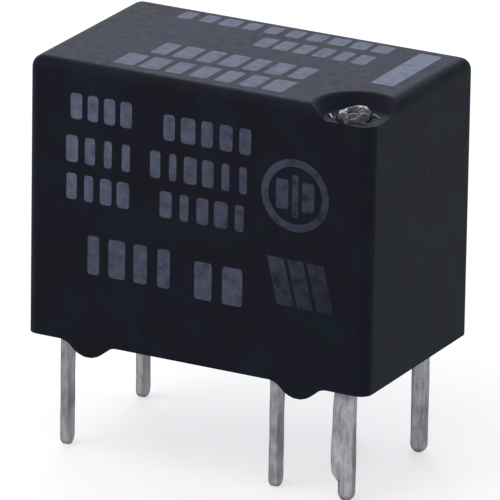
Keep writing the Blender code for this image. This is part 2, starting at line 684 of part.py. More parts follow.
# The armature is drawn closed against the pole, and then swung open about the knife edge
hinge = bpy.data.objects.new("armature_hinge", None)
relay.objects.link(hinge)
hinge.location = (pivot.x, 0, pivot.y)
bpy.context.view_layer.update()
swing_open = (
    Matrix.Translation(hinge.location) @ Matrix.Rotation(open_angle, 4, 'Y')
    @ Matrix.Translation(-hinge.location))
for swung in [armature] + [step.object for step in armature.modifiers]:
    swung.matrix_world = swing_open @ swung.matrix_world
keep(armature, soft_iron)

# Leaf spring: one bronze stamping, folded over the armature. Its long arm carries the moving
# contacts, and its two short tongues are riveted to the yoke and flex as the hinge
leg_low = at_rest(leaf_leg_x, armature_top_z - LEG_REACH)
leg_rise = (leaf_z - leg_low.y) / math.cos(open_angle)
leaf_corner = (leg_low.x + leg_rise * math.sin(open_angle), leaf_z)
arm_end_x = bar_x + BAR_LENGTH / 2 + SEAT
leaf_path = rounded_path([leg_low, leaf_corner, (arm_end_x, leaf_z)], LEAF_BEND)
moving_spring = folded_sheet("moving_spring", leaf_path, LEAF, -leaf_half_width, leaf_half_width, 'Y')
slot_root_x = leaf_corner[0] + LEAF_BEND + LEAF
taper_x = bar_x - BAR_LENGTH / 2 - SEAT
stamping = plate("stamping", both_sides([
    (-inner_half_length, leaf_half_width),
    (tongue_end_x - BOBBIN_WALL, leaf_half_width), (tongue_end_x, leaf_half_width - BOBBIN_WALL),
    (tongue_end_x, tongue_inner), (slot_root_x + ARM_TIP_HALF_WIDTH / 2, tongue_inner),
    (slot_root_x, (tongue_inner + ARM_HALF_WIDTH) / 2), (slot_root_x + ARM_TIP_HALF_WIDTH / 2, ARM_HALF_WIDTH),
    (taper_x - ARM_TAPER, ARM_HALF_WIDTH), (taper_x, ARM_TIP_HALF_WIDTH), (arm_end_x + THROUGH, ARM_TIP_HALF_WIDTH),
]), 2 * case_top_z, 'Z', coil_axis_z)
combine(moving_spring, stamping, 'INTERSECT')
for side in (-1, 1):
    tongue_hole = cylinder(
        "tongue_hole", YOKE_BOSS_RADIUS + SEAT, (tongue_rivet_x, side * tongue_middle_y, yoke_middle_z),
        (tongue_rivet_x, side * tongue_middle_y, ceiling_z), steps=20)
    combine(moving_spring, tongue_hole, 'DIFFERENCE')
    leg_hole = cylinder(
        "leg_hole", ARMATURE_BOSS_RADIUS + SEAT, (armature_face_x, side * tongue_middle_y, leg_rivet_z),
        (-case_half_length, side * tongue_middle_y, leg_rivet_z), steps=20)
    leg_hole.matrix_world = swing_open @ leg_hole.matrix_world
    combine(moving_spring, leg_hole, 'DIFFERENCE')
keep(moving_spring, spring_bronze)


# Contacts: small silver bars. The fixed bars cross the moving ones
def contact_bar(name, half_x, half_y, middle_z, crown):
    """A bar whose long edges are rounded on its contact side, up for crown 1 and down for -1."""
    bar = box(
        name, (bar_x - half_x, -half_y, middle_z - BAR_HEIGHT / 2), (bar_x + half_x, half_y, middle_z + BAR_HEIGHT / 2))
    crown_z = middle_z + crown * BAR_HEIGHT / 2
    length = 2 * max(half_x, half_y)
    round_edges(
        bar, BAR_ROUND, 4,
        lambda one, other: max(abs(one.z - crown_z), abs(other.z - crown_z)) < WELD
        and (one - other).length > length - WELD)
    return keep(bar, silver)


upper_bar = contact_bar("moving_contact_upper", BAR_LENGTH / 2, BAR_WIDTH / 2, upper_bar_z, 1)
lower_bar = contact_bar("moving_contact_lower", BAR_LENGTH / 2, BAR_WIDTH / 2, lower_bar_z, -1)
contact_bar("no_contact", BAR_WIDTH / 2, BAR_LENGTH / 2, no_bar_z, -1)
contact_bar("nc_contact", BAR_WIDTH / 2, BAR_LENGTH / 2, nc_bar_z, 1)

for moving in (armature, moving_spring, upper_bar, lower_bar):
    moving.parent = hinge
    moving.matrix_parent_inverse = hinge.matrix_world.inverted()


# Terminals: stamped strip. The blades of all six pins have the same section
def blade_outline(middle, steps=8):
    """The lower end of a pin, with a round tip, up its +side and down its -side from the base."""
    half = PIN_WIDTH / 2
    return arc((middle, half), half, 180, 360, steps)


def contact_terminal(name, side, arm_z):
    """A pin at the contact end whose strip rises beside its row and folds over the middle."""
    strip_low_z = base_top_z + SEAT
    strip_path = rounded_path(
        [(side * row_y, strip_low_z), (side * row_y, arm_z), (-side * ARM_END, arm_z)], STRIP_BEND)
    strip = folded_sheet(name, strip_path, SHEET, bar_x - STRIP_WIDTH / 2, bar_x + STRIP_WIDTH / 2, 'X')
    pin_top_z = strip_low_z + PIN_WIDTH
    half = PIN_WIDTH / 2
    blade = plate(
        name + "_pin", blade_outline(contact_x) + [(contact_x + half, pin_top_z), (contact_x - half, pin_top_z)],
        SHEET, 'Y', side * row_y)
    soften(blade, PIN_EDGE)
    combine(strip, blade, 'UNION')
    return keep(strip, tinned)


contact_terminal("nc_terminal", -1, nc_arm_z)
contact_terminal("no_terminal", 1, no_arm_z)

for side, end_name in ((-1, "front"), (1, "back")):
    middle = side * row_y
    half = PIN_WIDTH / 2
    neck_z = base_top_z + SEAT
    post = plate("coil_terminal_" + end_name, blade_outline(middle) + [
        (middle + half, block_top_z), (middle + POST_WIDTH / 2, block_top_z),
        (middle + POST_WIDTH / 2, block_top_z + POST_HEIGHT), (middle - POST_WIDTH / 2, block_top_z + POST_HEIGHT),
        (middle - POST_WIDTH / 2, block_top_z), (middle - half, block_top_z),
    ], SHEET, 'X', coil_x)
    soften(post, PIN_EDGE)
    keep(post, tinned)
    wide = RISER_HALF_WIDTH
    tenon_top_z = yoke_top_z + RIVET_STAND
    shoulder_z = yoke_under_z - SEAT
    riser = plate("common_terminal_" + end_name, blade_outline(middle) + [
        (middle + half, neck_z), (middle + wide, neck_z), (middle + wide, shoulder_z),
        (middle + tenon_half_width, shoulder_z), (middle + tenon_half_width, tenon_top_z),
        (middle - tenon_half_width, tenon_top_z), (middle - tenon_half_width, shoulder_z),
        (middle - wide, shoulder_z), (middle - wide, neck_z), (middle - half, neck_z),
    ], SHEET, 'X', common_x)
    soften(riser, PIN_EDGE)
    keep(riser, tinned)
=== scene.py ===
"""Looks of a sealed micro relay: black moulded case, pad-printed marks, six tinned pins.

Units are metres. The relay stands on its pins, with its printed front towards -Y.
"""
import math

import bmesh
import bpy
from mathutils import Matrix, Vector, noise


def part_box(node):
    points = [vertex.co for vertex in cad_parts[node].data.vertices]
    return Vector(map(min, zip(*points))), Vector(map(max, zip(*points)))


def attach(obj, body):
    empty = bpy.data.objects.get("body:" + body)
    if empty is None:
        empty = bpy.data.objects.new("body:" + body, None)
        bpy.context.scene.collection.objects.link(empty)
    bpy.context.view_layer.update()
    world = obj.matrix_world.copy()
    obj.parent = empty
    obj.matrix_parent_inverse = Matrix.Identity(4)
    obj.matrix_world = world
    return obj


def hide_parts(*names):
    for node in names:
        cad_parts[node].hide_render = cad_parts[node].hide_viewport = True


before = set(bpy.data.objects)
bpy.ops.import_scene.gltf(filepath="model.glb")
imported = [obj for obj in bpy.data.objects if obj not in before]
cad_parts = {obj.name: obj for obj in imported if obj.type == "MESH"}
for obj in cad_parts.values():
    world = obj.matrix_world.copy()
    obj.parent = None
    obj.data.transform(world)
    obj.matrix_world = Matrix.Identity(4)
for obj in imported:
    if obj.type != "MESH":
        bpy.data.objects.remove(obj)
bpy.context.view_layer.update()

MM = 0.001

# Case
# The cover is one moulding in black polyester, satin from a finely eroded mould. Its edges are
# rounded, and so is the rim of the dish in its top corner. Four round feet stand on its lower rim.
MERGE_DISTANCE = 0.001 * MM
FLAT_ANGLE = math.radians(0.5)
CASE_BLACK = "#1b1821"
CASE_BLUE_CAST = "#1b1b2a"
CASE_GREEN_CAST = "#172329"
# How strongly a green tint is painted on the contact end, as painted reflected light
CASE_END_PAINTED_TINT = 0.13
CASE_CAST_SIZE = 1.6 * MM
CASE_GREEN_SIZE = CASE_CAST_SIZE * 0.7
CASE_GREEN_SHIFT = (0.03, 0.02, 0.01)
CASE_SATIN_SIZE = CASE_CAST_SIZE / 6
CASE_SHEEN = 0.055
CASE_GRAIN_SIZE = 0.09 * MM
CASE_GRAIN_DEPTH = 0.006 * MM
CASE_SHORTEST_EDGE = 0.02 * MM
CASE_BROKEN_EDGE = 0.035 * MM
CASE_BROKEN_ANGLE = math.radians(40)
DISH_PLACE = Vector((5.2, -2.8)) * MM
DISH_RADIUS = 1.38 * MM
DISH_FLOOR_RADIUS = 1.05 * MM
DISH_FLOOR = 12.9 * MM
DISH_SIDES = 48
DISH_RIM_ROUND = 0.3 * MM
DISH_RIM_STEPS = 4
DISH_RIM_OVERSHOOT = 0.02 * MM
NIB_REACH = 0.5 * MM

case_low, case_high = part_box("case")


def linear(code):
    """An sRGB hex colour as the linear values that a shader takes."""
    values = [int(code[i:i + 2], 16) / 255 for i in (1, 3, 5)]
    return [v / 12.92 if v <= 0.04045 else ((v + 0.055) / 1.055) ** 2.4 for v in values] + [1.0]


def feed(node, **values):
    """Set a node's inputs, each to a value or by a link from a socket.

    An input is named by its label, with _ for a space, or by i and its number.
    """
    for name, value in values.items():
        socket = node.inputs[int(name[1:]) if name[1:].isdigit() else name.replace("_", " ")]
        if isinstance(value, bpy.types.NodeSocket):
            node.id_data.links.new(value, socket)
        else:
            socket.default_value = value


def add_node(tree, kind, settings=None, **values):
    """A node with its settings, fed with the values."""
    made = tree.nodes.new(kind)
    for name, value in (settings or {}).items():
        setattr(made, name, value)
    feed(made, **values)
    return made


def new_material(name):
    """An empty Principled material, its shader, and the coordinates that its patterns go by."""
    made = bpy.data.materials.new(name)
    made.use_nodes = True
    place = add_node(made.node_tree, "ShaderNodeTexCoord").outputs["Object"]
    return made, made.node_tree.nodes["Principled BSDF"], place


def mapped(place, **values):
    """A pattern's coordinates, moved or scaled."""
    return add_node(place.id_data, "ShaderNodeMapping", Vector=place, **values).outputs["Vector"]


def spots(place, size, detail=2.0, roughness=0.5):
    """Noise whose features are about that size, in metres."""
    return add_node(
        place.id_data, "ShaderNodeTexNoise", Vector=place, Scale=1 / size, Detail=detail,
        Roughness=roughness).outputs["Fac"]


def ramp(value, *stops):
    """A value looked up between stops, each a position and a hex colour or a plain number."""
    made = add_node(value.id_data, "ShaderNodeValToRGB", i0=value)
    elements = made.color_ramp.elements
    while len(elements) < len(stops):
        elements.new(0.5)
    for element, (position, tone) in zip(elements, stops):
        element.position = position
        element.color = linear(tone) if isinstance(tone, str) else (tone, tone, tone, 1.0)
    return made.outputs["Color"]


def blend(share, first, second):
    """A colour turned into the second one by a share."""
    return add_node(
        share.id_data, "ShaderNodeMix", {"data_type": 'RGBA'}, i0=share, i6=first,
        i7=second).outputs[2]


def combined(operation, first, second, clamp=False):
    """A socket's value and another one, combined."""
    return add_node(
        first.id_data, "ShaderNodeMath", {"operation": operation, "use_clamp": clamp}, i0=first,
        i1=second).outputs[0]


def relief(height, strength, depth):
    """The normals of a surface with a low relief."""
    return add_node(
        height.id_data, "ShaderNodeBump", Height=height, Strength=strength,
        Distance=depth).outputs["Normal"]


# Moulded polyester: near black with a faint blue and green cast in broad patches. The contact end
# also has a green tint painted on by which way its face turns, as painted reflected light. The
# sheen is weak seen straight on and rises at a low angle, which is what lights the top of the case.
case_plastic, shader, place = new_material("moulded_black_polyester")
blue_patch = ramp(spots(place, CASE_CAST_SIZE), (0.35, CASE_BLACK), (0.65, CASE_BLUE_CAST))
# The contact end's green tint is painted reflected light, set by how far each face turns towards +X
facing_the_end = add_node(
    place.id_data, "ShaderNodeSeparateXYZ", Vector=place.node.outputs["Normal"]).outputs["X"]
end_painted_tint = add_node(
    place.id_data, "ShaderNodeMapRange", Value=facing_the_end, To_Max=CASE_END_PAINTED_TINT).outputs[0]
elsewhere = mapped(place, Location=CASE_GREEN_SHIFT)
green_patches_and_end_tint = ramp(
    combined('ADD', spots(elsewhere, CASE_GREEN_SIZE), end_painted_tint), (0.52, 0.0), (0.75, 1.0))
feed(
    shader,
    Base_Color=blend(green_patches_and_end_tint, blue_patch, linear(CASE_GREEN_CAST)),
    Roughness=ramp(spots(place, CASE_SATIN_SIZE, detail=3.0), (0.3, 0.54), (0.7, 0.62)),
    Specular_IOR_Level=CASE_SHEEN,
    Normal=relief(
        spots(place, CASE_GRAIN_SIZE, detail=3.0), strength=0.25, depth=CASE_GRAIN_DEPTH))


def add_object(name, data):
    """A new object in the scene."""
    made = bpy.data.objects.new(name, data)
    bpy.context.scene.collection.objects.link(made)
    return made


def built(name, bm):
    """A new object with the mesh that was built, its faces turned outwards."""
    bmesh.ops.recalc_face_normals(bm, faces=bm.faces)
    mesh = bpy.data.meshes.new(name)
    bm.to_mesh(mesh)
    bm.free()
    return add_object(name, mesh)


def merged_copy(node, name):
    """A CAD node's mesh as a new object, with its loose triangles joined into whole faces."""
    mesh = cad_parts[node].data.copy()
    bm = bmesh.new()
    bm.from_mesh(mesh)
    bmesh.ops.remove_doubles(bm, verts=bm.verts, dist=MERGE_DISTANCE)
    bmesh.ops.dissolve_limit(bm, angle_limit=FLAT_ANGLE, verts=bm.verts, edges=bm.edges)
    bm.to_mesh(mesh)
    bm.free()
    mesh.name = name
    return add_object(name, mesh)


def modify(obj, name, kind, **settings):
    """Give an object a modifier with its settings."""
    made = obj.modifiers.new(name, kind)
    for setting, value in settings.items():
        setattr(made, setting, value)


def finish_mesh(obj):
    """Swap an object's modifiers for the mesh they make."""
    graph = bpy.context.evaluated_depsgraph_get()
    mesh = bpy.data.meshes.new_from_object(obj.evaluated_get(graph))
    obj.modifiers.clear()
    obj.data = mesh


def smooth(obj, angle=35):
    """Shade round, with edges sharper than the angle kept."""
    obj.data.shade_smooth()
    obj.data.set_sharp_from_angle(angle=math.radians(angle))


def wear(obj, material):
    """Give an object one material."""
    obj.data.materials.clear()
    obj.data.materials.append(material)


def bridge(bm, rings, closed=False):
    """Faces from each ring of points to the next, and from the last to the first if closed."""
    loops = [[bm.verts.new(point) for point in ring] for ring in rings]
    for first, second in zip(loops, loops[1:] + loops[:1] if closed else loops[1:]):
        for i in range(len(first)):
            bm.faces.new((first[i - 1], first[i], second[i], second[i - 1]))
    return loops


def dish_rim_cutter():
    """A ring whose hollow inner side rounds off the rim of the dish."""
    top = case_high.z
    turn = math.atan2(top - DISH_FLOOR, DISH_RADIUS - DISH_FLOOR_RADIUS)
    outer = DISH_RADIUS + DISH_RIM_ROUND * math.tan(turn / 2)
    section = []
    for i in range(DISH_RIM_STEPS + 1):
        angle = turn * i / DISH_RIM_STEPS
        section.append(Vector((outer - DISH_RIM_ROUND * math.sin(angle),
                               top - DISH_RIM_ROUND * (1 - math.cos(angle)))))
    section[0] += (section[0] - section[1]).normalized() * DISH_RIM_OVERSHOOT
    section[-1] += (section[-1] - section[-2]).normalized() * DISH_RIM_OVERSHOOT
    section += [Vector((point.x, top + DISH_RIM_ROUND)) for point in (section[-1], section[0])]
    rings = []
    for i in range(DISH_SIDES):
        angle = math.tau * i / DISH_SIDES
        out = Vector((math.cos(angle), math.sin(angle)))
        rings.append([(*(DISH_PLACE + out * point.x), point.y) for point in section])
    bm = bmesh.new()
    bridge(bm, rings, closed=True)
    return built("dish_rim_cutter", bm)


case_shell = merged_copy("case", "case_shell")
cutter = dish_rim_cutter()
modify(case_shell, "Rounded rim", 'BOOLEAN', operation='DIFFERENCE', solver='EXACT', object=cutter)
finish_mesh(case_shell)
bpy.data.objects.remove(cutter)
# The nib has melted away, so it is taken off and the floor of the dish is closed below it
bm = bmesh.new()
bm.from_mesh(case_shell.data)
nib = [vert for vert in bm.verts if vert.co.z > DISH_FLOOR + MERGE_DISTANCE
       and (vert.co.xy - DISH_PLACE).length < NIB_REACH]
bmesh.ops.delete(bm, geom=nib, context='VERTS')
bmesh.ops.holes_fill(bm, edges=[edge for edge in bm.edges if edge.is_boundary])
bmesh.ops.dissolve_limit(bm, angle_limit=FLAT_ANGLE, verts=bm.verts, edges=bm.edges)
bmesh.ops.dissolve_degenerate(bm, dist=CASE_SHORTEST_EDGE, edges=bm.edges)
bm.to_mesh(case_shell.data)
bm.free()
# The edges are broken by no more than the shortest of them allows, which is enough to keep the
# shading of each wall flat up to its edge
modify(case_shell, "Broken edges", 'BEVEL', width=CASE_BROKEN_EDGE, segments=2,
       limit_method='ANGLE', angle_limit=CASE_BROKEN_ANGLE)
finish_mesh(case_shell)
smooth(case_shell)
modify(case_shell, "Flat walls", 'WEIGHTED_NORMAL', weight=100, keep_sharp=True)
finish_mesh(case_shell)
wear(case_shell, case_plastic)
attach(case_shell, "relay")
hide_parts("case")

# Vent
# The moulded nib in the dish of the top corner was melted shut after sealing. It left a glossy
# lump with a drip towards the front edge and a few thin runs round it.
VENT_RUNS = (
    # the points along each run of melted plastic in millimetres, each with its half thickness:
    # the burst rim of the nib, its drip, the plastic left in the crater, and small runs beside it
    ((4.80, -3.00, 12.95, 0.19), (4.82, -2.70, 12.96, 0.17), (4.98, -2.52, 12.98, 0.19),
     (5.22, -2.50, 13.00, 0.22), (5.42, -2.66, 12.98, 0.23), (5.52, -2.92, 12.94, 0.21),
     (5.44, -3.14, 12.88, 0.15), (5.24, -3.26, 12.86, 0.13), (5.04, -3.26, 12.87, 0.14),
     (4.88, -3.18, 12.93, 0.18), (4.80, -3.00, 12.95, 0.19)),
    ((4.94, -3.16, 12.98, 0.17), (5.12, -3.36, 12.94, 0.13), (5.22, -3.49, 12.90, 0.10)),
    ((4.98, -2.96, 12.84, 0.18), (5.14, -2.86, 12.85, 0.20), (5.28, -2.92, 12.84, 0.18)),
    ((4.28, -2.78, 12.88, 0.05), (4.38, -3.02, 12.89, 0.08), (4.56, -3.24, 12.88, 0.07),
     (4.82, -3.18, 12.87, 0.08)),
    ((5.42, -2.50, 12.87, 0.12), (5.64, -2.42, 12.88, 0.10), (5.86, -2.52, 12.87, 0.08)),
    ((5.50, -3.10, 12.88, 0.12), (5.70, -3.18, 12.86, 0.08), (5.86, -3.16, 12.85, 0.06)),
)
VENT_STEP = 0.05
VENT_SWELL = 0.22
VENT_SWELLS_PER_MM = 4
VENT_VOXEL = 0.018 * MM
VENT_CALMING = 6


def two_toned(name, dark, pale, size, detail=2.0, fineness=0.5, stops=(0.3, 0.7), stretch=None,
              **values):
    """A Principled material in two tones, in patches of that size, with its other values."""
    made, shader, place = new_material(name)
    if stretch:
        place = mapped(place, Scale=stretch)
    patches = spots(place, size, detail, fineness)
    feed(shader, Base_Color=ramp(patches, (stops[0], dark), (stops[1], pale)), **values)
    return made, shader, place


def skin_over(obj, voxel, rounding):
    """Swap a mesh of overlapping shapes for one skin over them all, rounded in so many passes."""
    modify(obj, "Skin", 'REMESH', mode='VOXEL', voxel_size=voxel)
    modify(obj, "Rounding", 'SMOOTH', factor=0.5, iterations=rounding)
    finish_mesh(obj)


melted_plastic = two_toned(
    "melted_black_polyester", "#18181d", "#36363d", size=0.3 * MM, detail=3.0, stops=(0.35, 0.7),
    Roughness=0.2, Specular_IOR_Level=0.36)[0]
bm = bmesh.new()
for run in VENT_RUNS:
    for start, end in zip(run, run[1:]):
        start, end = Vector(start), Vector(end)
        steps = math.ceil((end - start).length / VENT_STEP)
        for i in range(steps + 1):
            *point, radius = start.lerp(end, i / steps)
            swell = 1 + VENT_SWELL * noise.noise(Vector(point) * VENT_SWELLS_PER_MM)
            bmesh.ops.create_icosphere(
                bm, subdivisions=2, radius=radius * swell * MM,
                matrix=Matrix.Translation(Vector(point) * MM))
vent_melt = built("vent_melt", bm)
skin_over(vent_melt, VENT_VOXEL, VENT_CALMING)
vent_melt.data.shade_smooth()
wear(vent_melt, melted_plastic)
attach(vent_melt, "relay")

# Print
# The marks are pad printed in one lavender grey ink, which is thin and patchy. Each line of them
# is a row of plain blocks here, with a ring and a slanted field beside them.
INK = "#5a6078"
INK_PALE = "#6f7589"
INK_FADED = "#262836"
INK_TONE_SIZE = 0.3 * MM
INK_PATCH_SIZE = 0.45 * MM
INK_PATCH_THIN = 0.35
INK_FADE_START = (-4.2 * MM, 0, 12.0 * MM)
INK_FADE_SLOPE = (0.080 / MM, 0, -0.050 / MM)
INK_THICKNESS = 0.006 * MM
INK_SINK = 0.004 * MM
INK_MERGE = 0.0001 * MM


def pad_ink(name, thin, slope=(0, 0, 0)):
    """Ink in small patches, thin all over by a share, and thinner still along a slope."""
    made, shader, place = new_material(name)
    tones = spots(place, INK_TONE_SIZE, detail=3.0, roughness=0.6)
    thick = ramp(tones, (0.35, INK), (0.65, INK_PALE))
    patches = spots(place, INK_PATCH_SIZE, detail=4.0, roughness=0.6)
    patchy = ramp(patches, (0.5, 0.0), (0.72, INK_PATCH_THIN))
    away = add_node(
        place.id_data, "ShaderNodeVectorMath", {"operation": 'SUBTRACT'}, i0=place,
        i1=INK_FADE_START).outputs[0]
    fade = add_node(
        place.id_data, "ShaderNodeVectorMath", {"operation": 'DOT_PRODUCT'}, i0=away,
        i1=slope).outputs["Value"]
    gone = combined('ADD', combined('ADD', fade, thin, clamp=True), patchy, clamp=True)
    feed(shader, Base_Color=blend(gone, thick, linear(INK_FADED)), Roughness=0.5,
         Specular_IOR_Level=CASE_SHEEN)
    return made


front_ink = pad_ink("pad_printed_ink_front", thin=0.0, slope=INK_FADE_SLOPE)
low_ink = pad_ink("pad_printed_ink_low", thin=0.42)
top_ink = pad_ink("pad_printed_ink_top", thin=0.36)
bar_ink = pad_ink("pad_printed_ink_bar", thin=0.06)

# Each row, in millimetres: name, start and height of its middle, length, height of its blocks,
# pitch, and the seed of their widths
FRONT_ROWS = (
    ("mark_row_1_left", -4.67, 11.90, 2.36, 0.86, 0.60, 3),
    ("mark_row_1_right", -1.36, 11.74, 3.40, 0.86, 0.68, 5),
    ("mark_row_2_left", -4.84, 10.46, 2.60, 0.90, 0.65, 7),
    ("mark_row_2_right", -1.82, 10.44, 3.78, 0.90, 0.63, 9),
    ("mark_row_3_left", -4.83, 9.20, 2.50, 0.88, 0.62, 11),
    ("mark_row_3_right", -1.44, 9.16, 3.30, 0.88, 0.66, 13),
)
# The lowest row was printed apart from the rest, so its ink doesn't fade along it
LOW_ROWS = (
    ("mark_row_4_left", -4.13, 7.00, 3.40, 1.30, 0.85, 15),
    ("mark_row_4_right", -0.26, 6.84, 2.10, 1.26, 1.05, 17),
)
TOP_ROWS = (
    ("top_row_1", -3.57, -2.27, 6.20, 1.15, 0.885, 21),
    ("top_row_2", -3.10, -0.77, 5.75, 1.20, 0.82, 23),
    ("top_row_3", -0.60, 1.42, 4.20, 0.96, 0.70, 25),
    ("top_row_4", -4.15, 2.68, 7.85, 0.74, 0.785, 27),
)
# The gap between blocks, and the narrowest block as a share of the widest
FRONT_SPACING = (0.16, 0.55)
TOP_SPACING = (0.12, 0.75)
BLOCK_ROUND = 0.12 * MM
BLOCK_CORNER_STEPS = 4


def modifier_tree(name, inputs):
    """An empty geometry node tree, and the sockets that bring in its inputs."""
    tree = bpy.data.node_groups.new(name, 'GeometryNodeTree')
    tree.is_modifier = True
    tree.interface.new_socket("Geometry", in_out='OUTPUT', socket_type='NodeSocketGeometry')
    for label, kind in inputs.items():
        tree.interface.new_socket(label, in_out='INPUT', socket_type="NodeSocket" + kind)
    return tree, add_node(tree, "NodeGroupInput").outputs


def grown(name, tree, values):
    """A new object with the mesh that a geometry node tree makes from the values."""
    made = add_object(name, bpy.data.meshes.new(name))
    maker = made.modifiers.new("Maker", 'NODES')
    maker.node_group = tree
    for item in tree.interface.items_tree:
        if item.in_out == 'INPUT':
            maker[item.identifier] = values[item.name]
    finish_mesh(made)
    return made


def print_row_tree():
    """Geometry nodes for one row of rounded blocks along X, drawn flat in X and Y."""
    tree, given = modifier_tree("print_row", {
        "Count": "Int", "Pitch": "Float", "Height": "Float", "Gap": "Float", "Round": "Float",
        "Thickness": "Float", "Narrowest": "Float", "Seed": "Int", "Ink": "Material"})
    step = add_node(tree, "ShaderNodeCombineXYZ", X=given["Pitch"]).outputs[0]
    line = add_node(tree, "GeometryNodeMeshLine", Count=given["Count"], Offset=step).outputs[0]
    outline = add_node(
        tree, "GeometryNodeCurvePrimitiveQuadrilateral", Height=given["Height"],
        Width=combined('SUBTRACT', given["Pitch"], given["Gap"])).outputs[0]
    rounded = add_node(
        tree, "GeometryNodeFilletCurve", {"mode": 'POLY'}, Curve=outline, Radius=given["Round"],
        Count=BLOCK_CORNER_STEPS).outputs[0]
    face = add_node(tree, "GeometryNodeFillCurve", Curve=rounded).outputs[0]
    solid = add_node(
        tree, "GeometryNodeExtrudeMesh", Mesh=face, Offset_Scale=given["Thickness"],
        Individual=False).outputs[0]
    lid = add_node(tree, "GeometryNodeFlipFaces", Mesh=face).outputs[0]
    block = add_node(tree, "GeometryNodeJoinGeometry")
    for part in (lid, solid):
        feed(block, i0=part)
    closed = add_node(
        tree, "GeometryNodeMergeByDistance", Geometry=block.outputs[0],
        Distance=INK_MERGE).outputs[0]
    narrow = add_node(
        tree, "FunctionNodeRandomValue", {"data_type": 'FLOAT'}, i2=given["Narrowest"], i3=1.0,
        Seed=given["Seed"]).outputs[1]
    stretch = add_node(tree, "ShaderNodeCombineXYZ", X=narrow, Y=1.0, Z=1.0).outputs[0]
    copies = add_node(
        tree, "GeometryNodeInstanceOnPoints", Points=line, Instance=closed,
        Scale=stretch).outputs[0]
    real = add_node(tree, "GeometryNodeRealizeInstances", Geometry=copies).outputs[0]
    inked = add_node(
        tree, "GeometryNodeSetMaterial", Geometry=real, Material=given["Ink"]).outputs[0]
    add_node(tree, "NodeGroupOutput", Geometry=inked)
    return tree


# Turns a drawing in X and Y onto the front, and onto the top, with its face outwards
ON_FRONT = Matrix.Translation((0, case_low.y + INK_SINK, 0)) @ Matrix.Rotation(math.pi / 2, 4, 'X')
ON_TOP = Matrix.Translation((0, 0, case_high.z - INK_SINK))


def mount_print(obj, placing, ink):
    """Put a flat drawing on its face of the case, and fix it to the relay."""
    obj.data.transform(placing)
    obj.data.update()
    wear(obj, ink)
    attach(obj, "relay")


row_tree = print_row_tree()
for rows, placing, (gap, narrowest), ink in (
        (FRONT_ROWS, ON_FRONT, FRONT_SPACING, front_ink),
        (LOW_ROWS, ON_FRONT, FRONT_SPACING, low_ink),
        (TOP_ROWS, ON_TOP, TOP_SPACING, top_ink)):
    for name, start, middle, length, height, pitch, seed in rows:
        row = grown(name, row_tree, {
            "Count": round(length / pitch), "Pitch": pitch * MM, "Height": height * MM,
            "Gap": gap * MM, "Round": BLOCK_ROUND, "Thickness": INK_THICKNESS,
            "Narrowest": narrowest, "Seed": seed, "Ink": ink})
        row.data.transform(Matrix.Translation(((start + pitch / 2) * MM, middle * MM, 0)))
        mount_print(row, placing, ink)


def flat_field(name, placing, ink, *outlines):
    """A thin field of ink inside an outline in millimetres, less any second outline in it."""
    curve = bpy.data.curves.new(name, 'CURVE')
    curve.dimensions = '2D'
    curve.fill_mode = 'BOTH'
    curve.extrude = INK_THICKNESS / 2
    for outline in outlines:
        spline = curve.splines.new('POLY')
        spline.points.add(len(outline) - 1)
        for point, (across, along) in zip(spline.points, outline):
            point.co = (across * MM, along * MM, 0, 1)
        spline.use_cyclic_u = True
    drawn = add_object(name + "_drawing", curve)
    graph = bpy.context.evaluated_depsgraph_get()
    mesh = bpy.data.meshes.new_from_object(drawn.evaluated_get(graph))
    bpy.data.objects.remove(drawn)
    bm = bmesh.new()
    bm.from_mesh(mesh)
    bmesh.ops.remove_doubles(bm, verts=bm.verts, dist=MERGE_DISTANCE)
    bmesh.ops.translate(bm, verts=bm.verts, vec=(0, 0, INK_THICKNESS / 2))
    mount_print(built(name, bm), placing, ink)


def arc(centre, radius, start, degrees, steps):
    """Points along an arc, from its start anticlockwise, with both ends."""
    x, y = centre
    turns = [math.radians(start + degrees * i / steps) for i in range(steps + 1)]
    return [(x + radius * math.cos(turn), y + radius * math.sin(turn)) for turn in turns]


def block(left, right, low, high, corner=0.08, steps=4):
    """The outline of a rectangle with rounded corners."""
    points = []
    for x, y, start in ((right - corner, high - corner, 0), (left + corner, high - corner, 90),
                        (left + corner, low + corner, 180), (right - corner, low + corner, 270)):
        points += arc((x, y), corner, start, degrees=90, steps=steps)
    return points


# The ring and its three blocks, the slanted field's corners and its three parts, and the bar, all
# in millimetres
RING_CENTRE = (3.50, 10.26)
RING_RADII = (1.20, 0.95)
RING_SIDES = 64
RING_BLOCKS = ((-0.68, -0.24, -0.50, 0.48), (-0.11, 0.11, -0.74, 0.68), (0.24, 0.68, -0.50, 0.48))
SLANT = ((2.53, 8.12), (2.92, 6.56), (4.94, 6.54), (4.54, 8.10))
SLANT_SHARES = ((0.0, 0.30), (0.36, 0.64), (0.70, 1.0))
BAR = (4.50, 5.30, -0.52, 2.96)

flat_field("mark_ring", ON_FRONT, front_ink, *(
    arc(RING_CENTRE, radius, start=0, degrees=360, steps=RING_SIDES)[:-1]
    for radius in RING_RADII))
for number, (left, right, low, high) in enumerate(RING_BLOCKS, 1):
    flat_field(f"mark_ring_block_{number}", ON_FRONT, front_ink, block(
        RING_CENTRE[0] + left, RING_CENTRE[0] + right, RING_CENTRE[1] + low, RING_CENTRE[1] + high))
high_left, low_left, low_right, high_right = (Vector(corner) for corner in SLANT)
for number, (start, end) in enumerate(SLANT_SHARES, 1):
    flat_field(f"mark_slanted_field_{number}", ON_FRONT, front_ink, [
        high_left.lerp(high_right, start), low_left.lerp(low_right, start),
        low_left.lerp(low_right, end), high_left.lerp(high_right, end)])
flat_field("orientation_bar", ON_TOP, bar_ink, block(*BAR))
